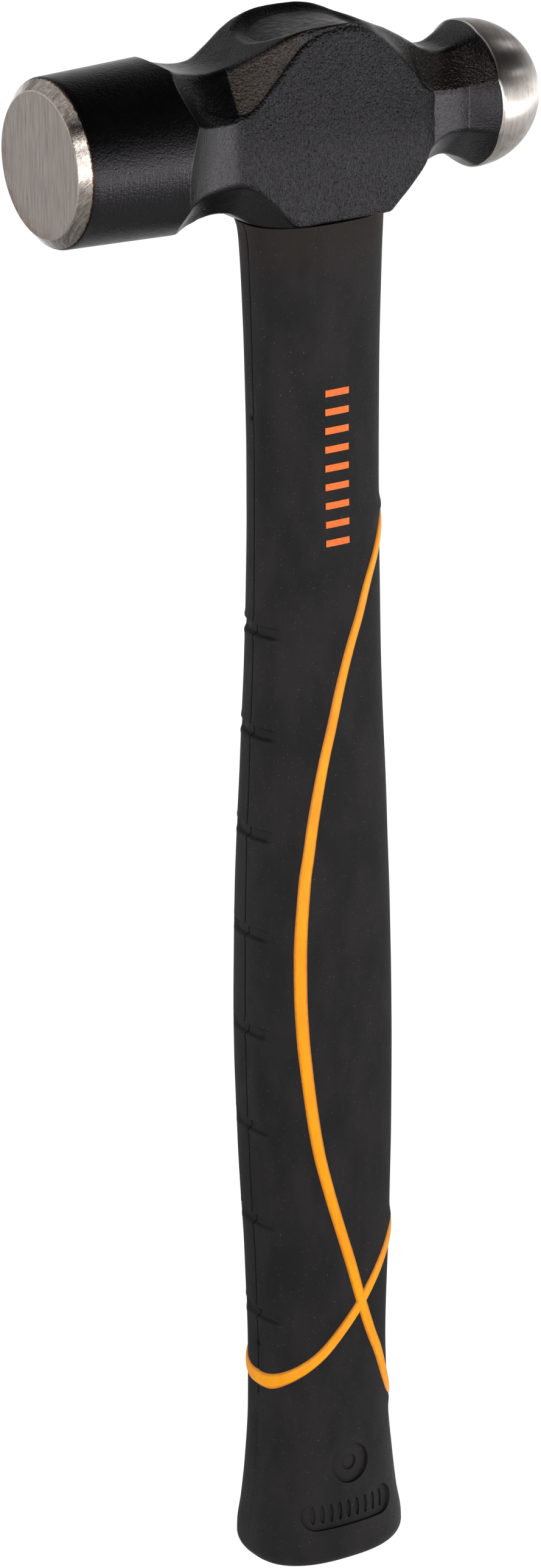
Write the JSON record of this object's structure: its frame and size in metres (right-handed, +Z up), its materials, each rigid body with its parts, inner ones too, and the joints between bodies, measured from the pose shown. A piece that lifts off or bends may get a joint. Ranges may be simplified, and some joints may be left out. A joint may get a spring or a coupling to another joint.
{
  "type": "ball peen hammer",
  "caption": "Ball peen hammer: a forged head with a chamfered striking face and a ball, on a moulded handle with a soft banded grip.",
  "frame": {"origin": "middle of the flat butt at the bottom of the handle", "axes": "+Z up the handle towards the head, -X the way the striking face looks, +X towards the ball, +Y and -Y out of the cheeks"},
  "size_m": [0.1219, 0.0378, 0.3564],
  "materials": {
    "lacquered_steel": "satin black lacquer over forged steel, worn off the ground face and ball",
    "resin": "matt black",
    "fibre": "pale glass fibre",
    "jacket_plastic": "satin orange",
    "grip_rubber": "matt black"
  },
  "bodies": {
    "root": {"head": "lacquered_steel", "eye_filler": "resin", "core_rod": "fibre", "handle_jacket": "jacket_plastic", "front_grip": "grip_rubber", "back_grip": "grip_rubber", "heel_grip": "grip_rubber", "butt_grip": "grip_rubber"}
  },
  "joints": []
}
